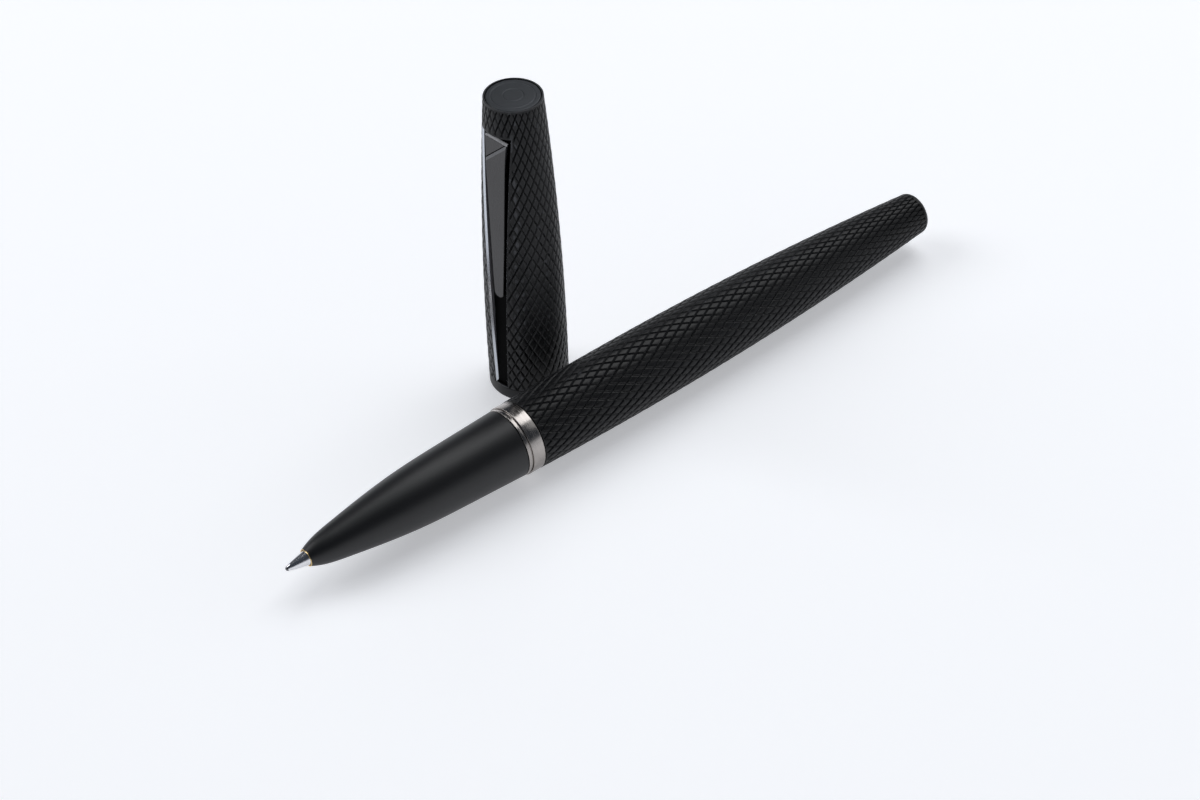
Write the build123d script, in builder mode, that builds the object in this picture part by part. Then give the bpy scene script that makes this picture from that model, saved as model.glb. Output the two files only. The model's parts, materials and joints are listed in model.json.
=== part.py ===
from build123d import *
import math
import os

# Capped rollerball pen as it lies in use: the pen on its side, the cap standing on its mouth behind it.
# Frame: +X along the pen from writing tip to tail, +Z up, origin under the middle of the whole layout.
# Pen stations s are measured from the ball along the pen axis, cap stations z from the cap's mouth.

# Pen, overall
pen_length = 130.0
pen_to_cap = 16.08          # distance between the pen axis and the cap axis, seen from above
cap_station = 58.1          # station along the pen that the cap stands beside

# Grip section
section_front = 3.8
section_rear = 41.15
section_mouth_radius = 1.45
section_rear_radius = 5.6
section_belly = [(5.0, 1.95), (9.4, 2.95), (22.5, 4.73), (31.8, 5.23)]
section_outline = [(section_front, section_mouth_radius), *section_belly, (section_rear, section_rear_radius)]
section_bore = 3.3
section_seat_front = 11.4
section_seat_rear = 14.6
section_socket_radius = 4.4
section_socket_depth = 11.0
nose_bore = 1.42
mouth_lip = 0.12
bush_setback = 0.06
bush_end_gap = 1.5
neck_bore = 3.3

# Trim ring between section and barrel
ring_front = 41.25
ring_rear = 44.2
ring_lip_length = 0.75
ring_lip_radius = 5.62
ring_radius = 5.8
ring_groove_depth = 0.14
ring_groove_length = 0.16
ring_edge = 0.12
ring_crown = 0.02

# Barrel
barrel_front = 44.28
barrel_front_radius = 5.84
barrel_middle_radius = 5.93
barrel_tail_radius = 3.6
barrel_bore = 3.6
barrel_bore_end = 121.0
insert_radius = 4.6
insert_rear = 53.0
insert_setback = 0.3
liner_bore = 3.25
tail_rounding = 0.7

# Thread pair between section and barrel, drawn as plain running cylinders
thread_radius = 4.05
thread_clearance = 0.07
neck_end = 51.6

# Refill
refill_radius = 3.05
refill_bore = 2.75
refill_shoulder = 14.7
refill_end = 110.5
refill_cap_length = 1.2     # visible rim of the end plug
refill_plug_length = 4.0
refill_plug_chamfer = 0.2
feed_radius = 0.55
feed_end = 26.0
shoulder_plug_end = 20.0
point_base = 3.85
point_radius = 1.24
point_front = 0.28
point_tip_radius = 0.42
point_cone_front = 0.62
point_cone_radius = 0.48
point_step = 6.0
point_end = 9.5
point_stem_radius = 0.85
ball_radius = 0.35
socket_radius = 0.38
socket_depth = 0.8
ink_channel = 0.2

# Springs
spring_front = 110.62
spring_rear = 118.6
spring_radius = 2.2
spring_wire = 0.25
spring_turns = 8
spigot_length = 2.0
spigot_radius = 1.7

# Cap
cap_height = 55.0
cap_mouth_radius = 6.45
cap_middle_radius = 6.12
cap_top_radius = 4.55
cap_mouth_bore = 5.92
cap_bore_taper = [(5.5, 10.0), (4.8, 22.0), (4.2, 27.0)]
snap_low = 0.6
snap_high = 1.9
snap_groove = 6.08
snap_inner = 5.78
inner_cap_low = 30.0
inner_cap_radius = 3.75
inner_cap_wall = 0.3
inner_cap_roof = 0.6
inner_cap_shoulder = 36.5
inner_cap_shoulder_radius = 2.3
finial_radius = 4.16
finial_gap = 0.1
finial_thickness = 1.1
finial_drop = 0.06          # the disc lies this far below the rim
finial_chamfer = 0.15
finial_stem = 1.6
chamber_radius = 3.3
chamber_floor = 43.0
chamber_top = 52.6
chamber_step = 0.4
chamber_flare = 0.6
carrier_top = 51.0

# Clip and the channel it lies in
clip_azimuth = -170.8       # degrees from +X, where the clip faces
channel_floor_low = 6.12    # distance of the channel floor from the cap axis at its lower end
channel_floor_high = 3.62   # and at its upper end
channel_low = 2.3
channel_high = 50.3
channel_half_low = 0.95
channel_half_high = 2.72
blade_gap = 0.2
blade_thickness_low = 0.35
blade_thickness_high = 0.72
blade_low = 20.0
blade_waist = 44.0
blade_high = 49.4
blade_half_low = 0.95
blade_half_waist = 1.9
blade_half_high = 2.35
tongue_half = 0.8
tongue_low = 45.6
tongue_high = 48.6
tongue_reach = -1.6         # inner end of the tongue, past the cap axis
tongue_heel = 1.0
tongue_top_reach = -0.2
slot_half = 0.95
slot_margin = 0.55
slot_back = -2.2
pivot_reach = 1.6           # distance of the clip's pivot pin from the cap axis
pivot_height = 47.1
pin_radius = 0.5
pin_clearance = 0.05
pin_half_length = 2.6
clip_spring_reach = -0.9
clip_spring_radius = 0.55
clip_spring_wire = 0.12
clip_spring_low = 43.9
clip_spring_turns = 4
clip_spring_play = 0.02
pocket_clearance = 0.1

os.makedirs("parts", exist_ok=True)


def widest_radius(start, middle, end):
    """Largest radius reached by the arc through three (station, radius) points."""
    (x1, y1), (x2, y2), (x3, y3) = start, middle, end
    twice_area = 2 * (x1 * (y2 - y3) + x2 * (y3 - y1) + x3 * (y1 - y2))
    s1 = x1 ** 2 + y1 ** 2
    s2 = x2 ** 2 + y2 ** 2
    s3 = x3 ** 2 + y3 ** 2
    centre_x = (s1 * (y2 - y3) + s2 * (y3 - y1) + s3 * (y1 - y2)) / twice_area
    centre_y = (s1 * (x3 - x2) + s2 * (x1 - x3) + s3 * (x2 - x1)) / twice_area
    return centre_y + math.hypot(x1 - centre_x, y1 - centre_y)


def finish(piece, label):
    """Name a finished piece and write it to its own file."""
    piece.label = label
    export_step(piece, f"parts/{label}.step")


# Places of the two axes: the pen's widest ring touches the ground, and the layout is centred on the origin
barrel_arc = [(barrel_front, barrel_front_radius), ((barrel_front + pen_length) / 2, barrel_middle_radius),
              (pen_length, barrel_tail_radius)]
cap_arc = [(0, cap_mouth_radius), (cap_height / 2, cap_middle_radius), (cap_height, cap_top_radius)]
barrel_widest = widest_radius(*barrel_arc)
cap_widest = widest_radius(*cap_arc)
tip_x = -pen_length / 2
pen_y = -(pen_to_cap + cap_widest - barrel_widest) / 2
pen_z = barrel_widest
cap_x = tip_x + cap_station
cap_y = pen_y + pen_to_cap
tip_point = (tip_x, pen_y, pen_z)
cap_base = (cap_x, cap_y, 0)

# Half planes that profiles are drawn in: local X is the station, or the radius on the cap's plane
pen_plane = Plane(origin=tip_point, x_dir=(1, 0, 0), z_dir=(0, -1, 0))
pen_axis = Axis(tip_point, (1, 0, 0))
cap_plane = Plane(origin=cap_base, x_dir=(1, 0, 0), z_dir=(0, -1, 0))
cap_axis = Axis(cap_base, (0, 0, 1))
clip_out = Vector(math.cos(math.radians(clip_azimuth)), math.sin(math.radians(clip_azimuth)), 0)
clip_side = clip_out.cross(Vector(0, 0, 1))
clip_plane = Plane(origin=cap_base, x_dir=clip_out, z_dir=clip_side)
front_plane = Plane(origin=cap_base, x_dir=-clip_side, z_dir=clip_out)
outside = 2 * cap_mouth_radius
channel_slope = (channel_floor_high - channel_floor_low) / (channel_high - channel_low)


def floor_reach(z):
    """Distance of the channel floor from the cap axis at height z."""
    return channel_floor_low + channel_slope * (z - channel_low)


def pen_ring(front, rear, inner, outer):
    """Corners of a plain tube on the pen axis."""
    return [(front, inner), (rear, inner), (rear, outer), (front, outer)]


# Barrel
with BuildPart() as barrel_shell:
    with BuildSketch(pen_plane):
        with BuildLine():
            Polyline((barrel_front, barrel_front_radius), (barrel_front, insert_radius),
                     (insert_rear, insert_radius), (insert_rear, barrel_bore),
                     (barrel_bore_end, barrel_bore), (barrel_bore_end + barrel_bore / 2, 0),
                     (pen_length, 0), (pen_length, barrel_tail_radius))
            ThreePointArc(barrel_arc[2], barrel_arc[1], barrel_arc[0])
        make_face()
    revolve(axis=pen_axis)
    tail_edge = barrel_shell.edges().filter_by(GeomType.CIRCLE).sort_by(Axis.X)[-1]
    fillet(tail_edge, tail_rounding)
finish(barrel_shell.part, "barrel_shell")

insert_front = barrel_front + insert_setback
with BuildPart() as barrel_thread_insert:
    with BuildSketch(pen_plane):
        with BuildLine():
            Polyline(*pen_ring(insert_front, insert_rear, thread_radius, insert_radius), close=True)
        make_face()
    revolve(axis=pen_axis)
finish(barrel_thread_insert.part, "barrel_thread_insert")

with BuildPart() as barrel_liner:
    with BuildSketch(pen_plane):
        with BuildLine():
            Polyline(*pen_ring(insert_rear, spring_rear, liner_bore, barrel_bore), close=True)
        make_face()
    revolve(axis=pen_axis)
finish(barrel_liner.part, "barrel_liner")

with BuildPart() as spring_seat:
    with BuildSketch(pen_plane):
        with BuildLine():
            Polyline((spring_rear - spigot_length, 0), (spring_rear - spigot_length, spigot_radius),
                     (spring_rear, spigot_radius),
                     (spring_rear, barrel_bore), (barrel_bore_end, barrel_bore), (barrel_bore_end, 0),
                     close=True)
        make_face()
    revolve(axis=pen_axis)
finish(spring_seat.part, "spring_seat")

spring_length = spring_rear - spring_front - 2 * spring_wire
with BuildPart() as refill_spring:
    with BuildLine():
        coil = Helix(spring_length / spring_turns, spring_length, spring_radius,
                     center=(tip_x + spring_front + spring_wire, pen_y, pen_z), direction=(1, 0, 0))
    with BuildSketch(Plane(origin=coil @ 0, z_dir=coil % 0)):
        Circle(spring_wire)
    sweep(is_frenet=True)
finish(refill_spring.part, "refill_spring")

# Trim ring
lip_end = ring_front + ring_lip_length
ring_bore = thread_radius + thread_clearance
with BuildPart() as trim_ring:
    with BuildSketch(pen_plane):
        with BuildLine():
            Polyline((ring_front, ring_bore), (ring_front, ring_lip_radius - ring_edge),
                     (ring_front + ring_edge, ring_lip_radius), (lip_end - ring_groove_length, ring_lip_radius),
                     (lip_end - ring_groove_length, ring_lip_radius - ring_groove_depth),
                     (lip_end, ring_lip_radius - ring_groove_depth), (lip_end, ring_radius - ring_edge),
                     (lip_end + ring_edge, ring_radius), (ring_rear - ring_edge, ring_radius + ring_crown),
                     (ring_rear, ring_radius - ring_edge), (ring_rear, ring_bore), close=True)
        make_face()
    revolve(axis=pen_axis)
finish(trim_ring.part, "trim_ring")

# Grip section
with BuildPart() as grip_section:
    with BuildSketch(pen_plane):
        with BuildLine():
            Spline(*section_outline)
            Polyline(section_outline[-1], (section_rear, section_socket_radius),
                     (section_rear - section_socket_depth, section_socket_radius),
                     (section_rear - section_socket_depth, section_bore), (section_seat_rear, section_bore),
                     (section_seat_front, nose_bore), (section_front - mouth_lip, nose_bore),
                     section_outline[0])
        make_face()
    revolve(axis=pen_axis)
finish(grip_section.part, "grip_section")

neck_radius = thread_radius - thread_clearance
with BuildPart() as section_thread_sleeve:
    with BuildSketch(pen_plane):
        with BuildLine():
            Polyline((section_rear - section_socket_depth, neck_bore), (neck_end, neck_bore),
                     (neck_end, neck_radius), (section_rear, neck_radius),
                     (section_rear, section_socket_radius),
                     (section_rear - section_socket_depth, section_socket_radius), close=True)
        make_face()
    revolve(axis=pen_axis)
finish(section_thread_sleeve.part, "section_thread_sleeve")

bush_bore = point_radius + bush_setback
bush_front = section_front - mouth_lip - bush_setback
with BuildPart() as nose_bush:
    with BuildSketch(pen_plane):
        with BuildLine():
            Polyline(*pen_ring(bush_front, section_seat_front - bush_end_gap, bush_bore, nose_bore), close=True)
        make_face()
    revolve(axis=pen_axis)
finish(nose_bush.part, "nose_bush")

# Refill
with BuildPart() as refill_point:
    with BuildSketch(pen_plane):
        with BuildLine():
            Polyline((point_front, socket_radius), (point_front, point_tip_radius),
                     (point_cone_front, point_cone_radius), (point_base, point_radius),
                     (point_step, point_radius), (point_step, point_stem_radius),
                     (point_end, point_stem_radius), (point_end, ink_channel), (socket_depth, ink_channel),
                     (socket_depth, socket_radius), close=True)
        make_face()
    revolve(axis=pen_axis)
finish(refill_point.part, "refill_point")

with BuildPart() as writing_ball:
    with BuildSketch(pen_plane):
        with BuildLine():
            CenterArc((ball_radius, 0), ball_radius, 0, 180)
            Line((0, 0), (2 * ball_radius, 0))
        make_face()
    revolve(axis=pen_axis)
finish(writing_ball.part, "writing_ball")

with BuildPart() as refill_shoulder_plug:
    with BuildSketch(pen_plane):
        with BuildLine():
            Polyline((point_step, point_stem_radius), (point_step, point_radius),
                     (section_seat_front, point_radius), (refill_shoulder, refill_radius),
                     (refill_shoulder, refill_bore), (shoulder_plug_end, refill_bore),
                     (shoulder_plug_end, feed_radius), (point_end, feed_radius), (point_end, point_stem_radius),
                     close=True)
        make_face()
    revolve(axis=pen_axis)
finish(refill_shoulder_plug.part, "refill_shoulder_plug")

with BuildPart() as ink_feed_rod:
    with BuildSketch(pen_plane):
        with BuildLine():
            Polyline(*pen_ring(point_end, feed_end, 0, feed_radius), close=True)
        make_face()
    revolve(axis=pen_axis)
finish(ink_feed_rod.part, "ink_feed_rod")

tube_end = refill_end - refill_cap_length
with BuildPart() as refill_tube:
    with BuildSketch(pen_plane):
        with BuildLine():
            Polyline(*pen_ring(refill_shoulder, tube_end, refill_bore, refill_radius), close=True)
        make_face()
    revolve(axis=pen_axis)
finish(refill_tube.part, "refill_tube")

plug_front = refill_end - refill_plug_length
with BuildPart() as ink_reservoir:
    with BuildSketch(pen_plane):
        with BuildLine():
            Polyline(*pen_ring(feed_end, plug_front, 0, refill_bore), close=True)
        make_face()
    revolve(axis=pen_axis)
finish(ink_reservoir.part, "ink_reservoir")

with BuildPart() as refill_end_plug:
    with BuildSketch(pen_plane):
        with BuildLine():
            Polyline((plug_front, 0), (plug_front, refill_bore), (tube_end, refill_bore),
                     (tube_end, refill_radius), (refill_end, refill_radius - refill_plug_chamfer),
                     (refill_end, 0), close=True)
        make_face()
    revolve(axis=pen_axis)
finish(refill_end_plug.part, "refill_end_plug")

# Cap
chamber_low = chamber_floor - chamber_step
finial_seat = finial_radius + finial_gap
disc_low = cap_height - finial_thickness
slot_low = tongue_low - slot_margin
slot_high = tongue_high + slot_margin
with BuildPart() as cap_shell:
    with BuildSketch(cap_plane):
        with BuildLine():
            Polyline((cap_mouth_radius, 0), (cap_mouth_bore, 0), (cap_mouth_bore, snap_low),
                     (snap_groove, snap_low), (snap_groove, snap_high), (cap_mouth_bore, snap_high),
                     *cap_bore_taper,
                     (inner_cap_radius, inner_cap_low), (inner_cap_radius, chamber_low),
                     (chamber_radius, chamber_low), (chamber_radius, chamber_top),
                     (finial_seat, chamber_top + chamber_flare), (finial_seat, cap_height),
                     (cap_top_radius, cap_height))
            ThreePointArc(cap_arc[2][::-1], cap_arc[1][::-1], cap_arc[0][::-1])
        make_face()
    revolve(axis=cap_axis)
    # channel under the clip: a tapering wedge outside its flat floor
    with BuildSketch(clip_plane):
        with BuildLine():
            Polyline((channel_floor_low, channel_low), (outside, channel_low), (outside, channel_high),
                     (channel_floor_high, channel_high), close=True)
        make_face()
    channel_wide = extrude(amount=channel_half_high, both=True, mode=Mode.PRIVATE)
    with BuildSketch(front_plane, mode=Mode.PRIVATE) as channel_front:
        with BuildLine():
            Polyline((-channel_half_low, channel_low), (channel_half_low, channel_low),
                     (channel_half_high, channel_high), (-channel_half_high, channel_high), close=True)
        make_face()
    channel_taper = extrude(channel_front.sketch, amount=outside, mode=Mode.PRIVATE)
    add(channel_wide & channel_taper, mode=Mode.SUBTRACT)
    # slot that the clip's tongue passes through
    with BuildSketch(clip_plane):
        with BuildLine():
            Polyline((pivot_reach, slot_low), (outside, slot_low), (outside, slot_high),
                     (pivot_reach, slot_high), close=True)
        make_face()
    extrude(amount=slot_half, both=True, mode=Mode.SUBTRACT)
finish(cap_shell.part, "cap_shell")

with BuildPart() as cap_snap_ring:
    with BuildSketch(cap_plane):
        with BuildLine():
            Polyline((snap_groove, snap_low), (snap_groove, snap_high), (cap_mouth_bore, snap_high),
                     (snap_inner, (snap_low + snap_high) / 2), (cap_mouth_bore, snap_low), close=True)
        make_face()
    revolve(axis=cap_axis)
finish(cap_snap_ring.part, "cap_snap_ring")

inner_roof = chamber_low - inner_cap_roof
with BuildPart() as inner_cap:
    with BuildSketch(cap_plane):
        with BuildLine():
            Polyline((inner_cap_radius, inner_cap_low), (inner_cap_radius, chamber_low), (0, chamber_low),
                     (0, inner_roof), (inner_cap_shoulder_radius, inner_roof),
                     (inner_cap_shoulder_radius, inner_cap_shoulder),
                     (inner_cap_radius - inner_cap_wall, inner_cap_low), close=True)
        make_face()
    revolve(axis=cap_axis)
finish(inner_cap.part, "inner_cap")

with BuildPart() as clip_carrier:
    with BuildSketch(cap_plane):
        with BuildLine():
            Polyline((0, chamber_floor), (chamber_radius, chamber_floor), (chamber_radius, carrier_top),
                     (0, carrier_top), close=True)
        make_face()
    revolve(axis=cap_axis)
    with BuildSketch(clip_plane):
        with BuildLine():
            Polyline((slot_back, slot_low), (outside, slot_low), (outside, slot_high), (slot_back, slot_high),
                     close=True)
        make_face()
    extrude(amount=slot_half, both=True, mode=Mode.SUBTRACT)
    with BuildSketch(clip_plane):
        with Locations((pivot_reach, pivot_height)):
            Circle(pin_radius)
    extrude(amount=cap_mouth_radius, both=True, mode=Mode.SUBTRACT)
    spring_base = Vector(cap_base) + clip_out * clip_spring_reach + Vector(0, 0, clip_spring_low)
    with BuildSketch(Plane(origin=spring_base)):
        Circle(clip_spring_radius + clip_spring_wire + pocket_clearance)
    extrude(amount=tongue_low - clip_spring_low, mode=Mode.SUBTRACT)
finish(clip_carrier.part, "clip_carrier")

with BuildPart() as clip_pivot_pin:
    with BuildSketch(clip_plane):
        with Locations((pivot_reach, pivot_height)):
            Circle(pin_radius)
    extrude(amount=pin_half_length, both=True)
finish(clip_pivot_pin.part, "clip_pivot_pin")

clip_spring_end = clip_spring_wire + clip_spring_play
clip_spring_height = tongue_low - clip_spring_low - 2 * clip_spring_end
spring_foot = spring_base + Vector(0, 0, clip_spring_end)
with BuildPart() as clip_spring:
    with BuildLine():
        clip_coil = Helix(clip_spring_height / clip_spring_turns, clip_spring_height, clip_spring_radius,
                          center=spring_foot, direction=(0, 0, 1))
    with BuildSketch(Plane(origin=clip_coil @ 0, z_dir=clip_coil % 0)):
        Circle(clip_spring_wire)
    sweep(is_frenet=True)
finish(clip_spring.part, "clip_spring")

finial_top = cap_height - finial_drop
with BuildPart() as finial_disc:
    with BuildSketch(cap_plane):
        with BuildLine():
            Polyline((0, chamber_top), (finial_stem, chamber_top), (finial_stem, disc_low),
                     (finial_radius, disc_low), (finial_radius, finial_top - finial_chamfer),
                     (finial_radius - finial_chamfer, finial_top), (0, finial_top), close=True)
        make_face()
    revolve(axis=cap_axis)
finish(finial_disc.part, "finial_disc")

plug_radius = chamber_radius + chamber_flare
plug_shoulder = chamber_top + chamber_flare * chamber_flare / (finial_seat - chamber_radius)
with BuildPart() as finial_plug:
    with BuildSketch(cap_plane):
        with BuildLine():
            Polyline((0, carrier_top), (chamber_radius, carrier_top), (chamber_radius, chamber_top),
                     (plug_radius, plug_shoulder), (plug_radius, disc_low), (finial_stem, disc_low),
                     (finial_stem, chamber_top), (0, chamber_top), close=True)
        make_face()
    revolve(axis=cap_axis)
finish(finial_plug.part, "finial_plug")

# Clip
blade_inner_low = floor_reach(blade_low) + blade_gap
blade_inner_high = floor_reach(blade_high) + blade_gap
blade_root = blade_inner_high + blade_thickness_high / 2
tip_centre = blade_low + blade_half_low
with BuildPart() as clip:
    with BuildSketch(clip_plane):
        with BuildLine():
            Polyline((blade_inner_low, blade_low), (blade_inner_low + blade_thickness_low, blade_low),
                     (blade_inner_high + blade_thickness_high, blade_high), (blade_inner_high, blade_high),
                     close=True)
        make_face()
    extrude(amount=blade_half_high, both=True)
    with BuildSketch(front_plane, mode=Mode.PRIVATE) as blade_front:
        with BuildLine():
            Polyline((blade_half_low, tip_centre), (blade_half_waist, blade_waist),
                     (blade_half_high, blade_high), (-blade_half_high, blade_high),
                     (-blade_half_waist, blade_waist), (-blade_half_low, tip_centre))
            RadiusArc((-blade_half_low, tip_centre), (blade_half_low, tip_centre), -blade_half_low)
        make_face()
    extrude(blade_front.sketch, amount=outside, mode=Mode.INTERSECT)
    with BuildSketch(clip_plane):
        with BuildLine():
            Polyline((tongue_reach, tongue_low), (blade_root, tongue_low), (blade_root, tongue_high),
                     (tongue_top_reach, tongue_high), (tongue_reach, tongue_low + tongue_heel), close=True)
        make_face()
        with Locations((pivot_reach, pivot_height)):
            Circle(pin_radius + pin_clearance, mode=Mode.SUBTRACT)
    extrude(amount=tongue_half, both=True)
finish(clip.part, "clip")
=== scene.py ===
import json
import math
import bmesh
import bpy
import numpy as np
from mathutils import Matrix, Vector


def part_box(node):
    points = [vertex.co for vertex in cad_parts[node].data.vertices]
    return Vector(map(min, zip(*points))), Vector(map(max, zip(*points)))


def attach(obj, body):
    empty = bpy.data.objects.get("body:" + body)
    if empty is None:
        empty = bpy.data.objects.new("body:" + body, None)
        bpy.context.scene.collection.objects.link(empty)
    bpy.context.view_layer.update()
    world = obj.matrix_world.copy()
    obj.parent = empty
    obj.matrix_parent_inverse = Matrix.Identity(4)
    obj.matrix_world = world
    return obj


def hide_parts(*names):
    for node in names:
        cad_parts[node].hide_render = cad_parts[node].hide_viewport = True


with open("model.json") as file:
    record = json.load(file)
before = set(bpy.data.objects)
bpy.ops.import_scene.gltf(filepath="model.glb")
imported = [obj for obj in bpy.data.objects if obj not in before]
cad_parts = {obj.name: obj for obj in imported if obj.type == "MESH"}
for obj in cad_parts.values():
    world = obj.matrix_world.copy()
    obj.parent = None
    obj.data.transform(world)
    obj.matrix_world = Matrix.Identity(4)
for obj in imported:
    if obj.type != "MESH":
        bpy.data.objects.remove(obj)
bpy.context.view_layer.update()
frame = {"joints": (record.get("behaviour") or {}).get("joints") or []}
scene = bpy.context.scene
mm = 0.001


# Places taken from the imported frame
def boxOf(node):
    low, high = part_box(node)
    return Vector(low), Vector(high)


barrelLow, barrelHigh = boxOf("barrel_shell")
pointLow, _ = boxOf("writing_ball")
capLow, capHigh = boxOf("cap_snap_ring")
shellLow, shellHigh = boxOf("cap_shell")
penOrigin = Vector((pointLow.x, (barrelLow.y + barrelHigh.y) / 2, (barrelLow.z + barrelHigh.z) / 2))
capOrigin = Vector(((capLow.x + capHigh.x) / 2, (capLow.y + capHigh.y) / 2, shellLow.z))
clipJoint = next(j for j in frame["joints"] if j["name"] == "clip_open")
clipSide = Vector(clipJoint["axis"])
clipOut = Vector((0, 0, 1)).cross(clipSide).normalized()


def penStation(node, end):
    # distance from the writing point, in mm, to one end of a node
    low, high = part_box(node)
    return ((low if end == "front" else high)[0] - penOrigin.x) / mm


# Mesh helpers
def newPiece(name, vertices, faces, body, replaced=(), smoothAngle=28):
    mesh = bpy.data.meshes.new(name)
    mesh.from_pydata(vertices, [], faces)
    mesh.validate()
    mesh.update()
    piece = bpy.data.objects.new(name, mesh)
    scene.collection.objects.link(piece)
    shadeByAngle(mesh, smoothAngle)
    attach(piece, body)
    for node in replaced:
        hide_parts(node)
    return piece


def shadeByAngle(mesh, angle):
    mesh.polygons.foreach_set("use_smooth", [True] * len(mesh.polygons))
    mesh.set_sharp_from_angle(angle=math.radians(angle))


def arcThrough(start, middle, end):
    # radius at a station on the circle through three (station, radius) points
    (x1, y1), (x2, y2), (x3, y3) = start, middle, end
    d = 2 * (x1 * (y2 - y3) + x2 * (y3 - y1) + x3 * (y1 - y2))
    s1, s2, s3 = x1 ** 2 + y1 ** 2, x2 ** 2 + y2 ** 2, x3 ** 2 + y3 ** 2
    cx = (s1 * (y2 - y3) + s2 * (y3 - y1) + s3 * (y1 - y2)) / d
    cy = (s1 * (x3 - x2) + s2 * (x1 - x3) + s3 * (x2 - x1)) / d
    size = math.hypot(x1 - cx, y1 - cy)
    return lambda x: cy + math.sqrt(size ** 2 - (x - cx) ** 2)


def smoothCurve(points, count):
    # natural spline through the points, evenly sampled along their chord length
    pts = np.array(points, float)
    chord = np.concatenate([[0], np.cumsum(np.hypot(*np.diff(pts, axis=0).T))])
    n = len(pts)
    h = np.diff(chord)
    system = np.eye(n)
    right = np.zeros((n, 2))
    for i in range(1, n - 1):
        system[i, i - 1:i + 2] = h[i - 1], 2 * (h[i - 1] + h[i]), h[i]
        right[i] = 6 * ((pts[i + 1] - pts[i]) / h[i] - (pts[i] - pts[i - 1]) / h[i - 1])
    bend = np.linalg.solve(system, right)
    out = []
    for t in np.linspace(0, chord[-1], count):
        i = min(int(np.searchsorted(chord, t, side="right")) - 1, n - 2)
        a, b = (chord[i + 1] - t) / h[i], (t - chord[i]) / h[i]
        out.append(tuple(a * pts[i] + b * pts[i + 1]
                         + ((a ** 3 - a) * bend[i] + (b ** 3 - b) * bend[i + 1]) * h[i] ** 2 / 6))
    return out


def roundedCorners(points, radius, steps=3):
    # each inner corner of an open outline gets a small curve of the given size
    out = [points[0]]
    for before, corner, after in zip(points, points[1:], points[2:]):
        b, c, a = Vector(before), Vector(corner), Vector(after)
        reach = min(radius, (b - c).length * 0.45, (a - c).length * 0.45)
        p, q = c + (b - c).normalized() * reach, c + (a - c).normalized() * reach
        for k in range(steps + 1):
            t = k / steps
            out.append(tuple((1 - t) ** 2 * p + 2 * t * (1 - t) * c + t ** 2 * q))
    out.append(points[-1])
    return out


def turnedMesh(outline, columns, place, closed=True, relief=None, reliefRows=None, cell=0):
    # outline: (station, radius) in mm. place(station, radius, angle) gives the point in metres.
    # relief(row, column, station) gives a depth in mm on the rows in reliefRows. cell is the number of columns
    # in one diamond, and turns the faces' diagonals along the grooves.
    angles = [2 * math.pi * j / columns for j in range(columns)]
    vertices, rows = [], []
    for i, (station, radius) in enumerate(outline):
        if radius < 1e-6:
            rows.append([len(vertices)] * columns)
            vertices.append(place(station, 0, 0))
            continue
        rows.append(list(range(len(vertices), len(vertices) + columns)))
        carved = reliefRows is not None and reliefRows[0] <= i <= reliefRows[1]
        for j, angle in enumerate(angles):
            depth = relief(i - reliefRows[0], j, station) if carved else 0
            vertices.append(place(station, radius - depth, angle))
    faces = []
    last = len(outline) if closed else len(outline) - 1
    for i in range(last):
        a, b = rows[i], rows[(i + 1) % len(outline)]
        carved = reliefRows is not None and reliefRows[0] <= i < reliefRows[1]
        for j in range(columns):
            k = (j + 1) % columns
            if a[j] == a[k] and b[j] == b[k]:
                continue
            if a[j] == a[k]:
                faces.append((a[j], b[k], b[j]))
            elif b[j] == b[k]:
                faces.append((a[j], a[k], b[j]))
            elif carved:
                row = i - reliefRows[0]
                nearV = abs((j - row + cell // 2) % cell - cell // 2)
                nearU = abs((j + row + 1 + cell // 2) % cell - cell // 2)
                if nearV <= nearU:
                    faces += [(a[j], a[k], b[k]), (a[j], b[k], b[j])]
                else:
                    faces += [(a[j], a[k], b[j]), (a[k], b[k], b[j])]
            else:
                faces.append((a[j], a[k], b[k], b[j]))
    return vertices, faces


def loftFaces(sides, layers):
    # the two ends of a stack of outlines, then the faces round its sides
    faces = [tuple(range(sides))[::-1], tuple(range(layers * sides, (layers + 1) * sides))]
    for layer in range(layers):
        low, high = layer * sides, (layer + 1) * sides
        faces += [(low + i, low + (i + 1) % sides, high + (i + 1) % sides, high + i) for i in range(sides)]
    return faces


def linkMesh(name, points, faces):
    mesh = bpy.data.meshes.new(name)
    mesh.from_pydata(points, [], faces)
    mesh.validate()
    piece = bpy.data.objects.new(name, mesh)
    scene.collection.objects.link(piece)
    return piece


def flipIfInside(piece):
    # booleans need faces that look outwards
    work = bmesh.new()
    work.from_mesh(piece.data)
    bmesh.ops.recalc_face_normals(work, faces=work.faces)
    work.to_mesh(piece.data)
    work.free()


def barFrom(points, order, finishes, endFinish):
    # a closed bar through a stack of outlines, with one finish for each side face, for use in a boolean
    sides = len(finishes)
    bar = linkMesh("cutter", points, loftFaces(sides, len(points) // sides - 1))
    for material in order:
        bar.data.materials.append(material)
    for index, polygon in enumerate(bar.data.polygons):
        polygon.material_index = order.index(finishes[(index - 2) % sides] if index > 1 else endFinish)
    flipIfInside(bar)
    return bar


def applyBoolean(piece, other, operation):
    modifier = piece.modifiers.new("join", "BOOLEAN")
    modifier.operation = operation
    modifier.solver = "EXACT"
    modifier.object = other
    modifier.material_mode = "TRANSFER"
    seen = piece.evaluated_get(bpy.context.evaluated_depsgraph_get())
    result = bpy.data.meshes.new_from_object(seen)
    piece.modifiers.clear()
    piece.data = result
    bpy.data.objects.remove(other)


def onPen(station, radius, angle):
    return (penOrigin.x + station * mm, penOrigin.y + radius * math.sin(angle) * mm,
            penOrigin.z + radius * math.cos(angle) * mm)


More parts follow.
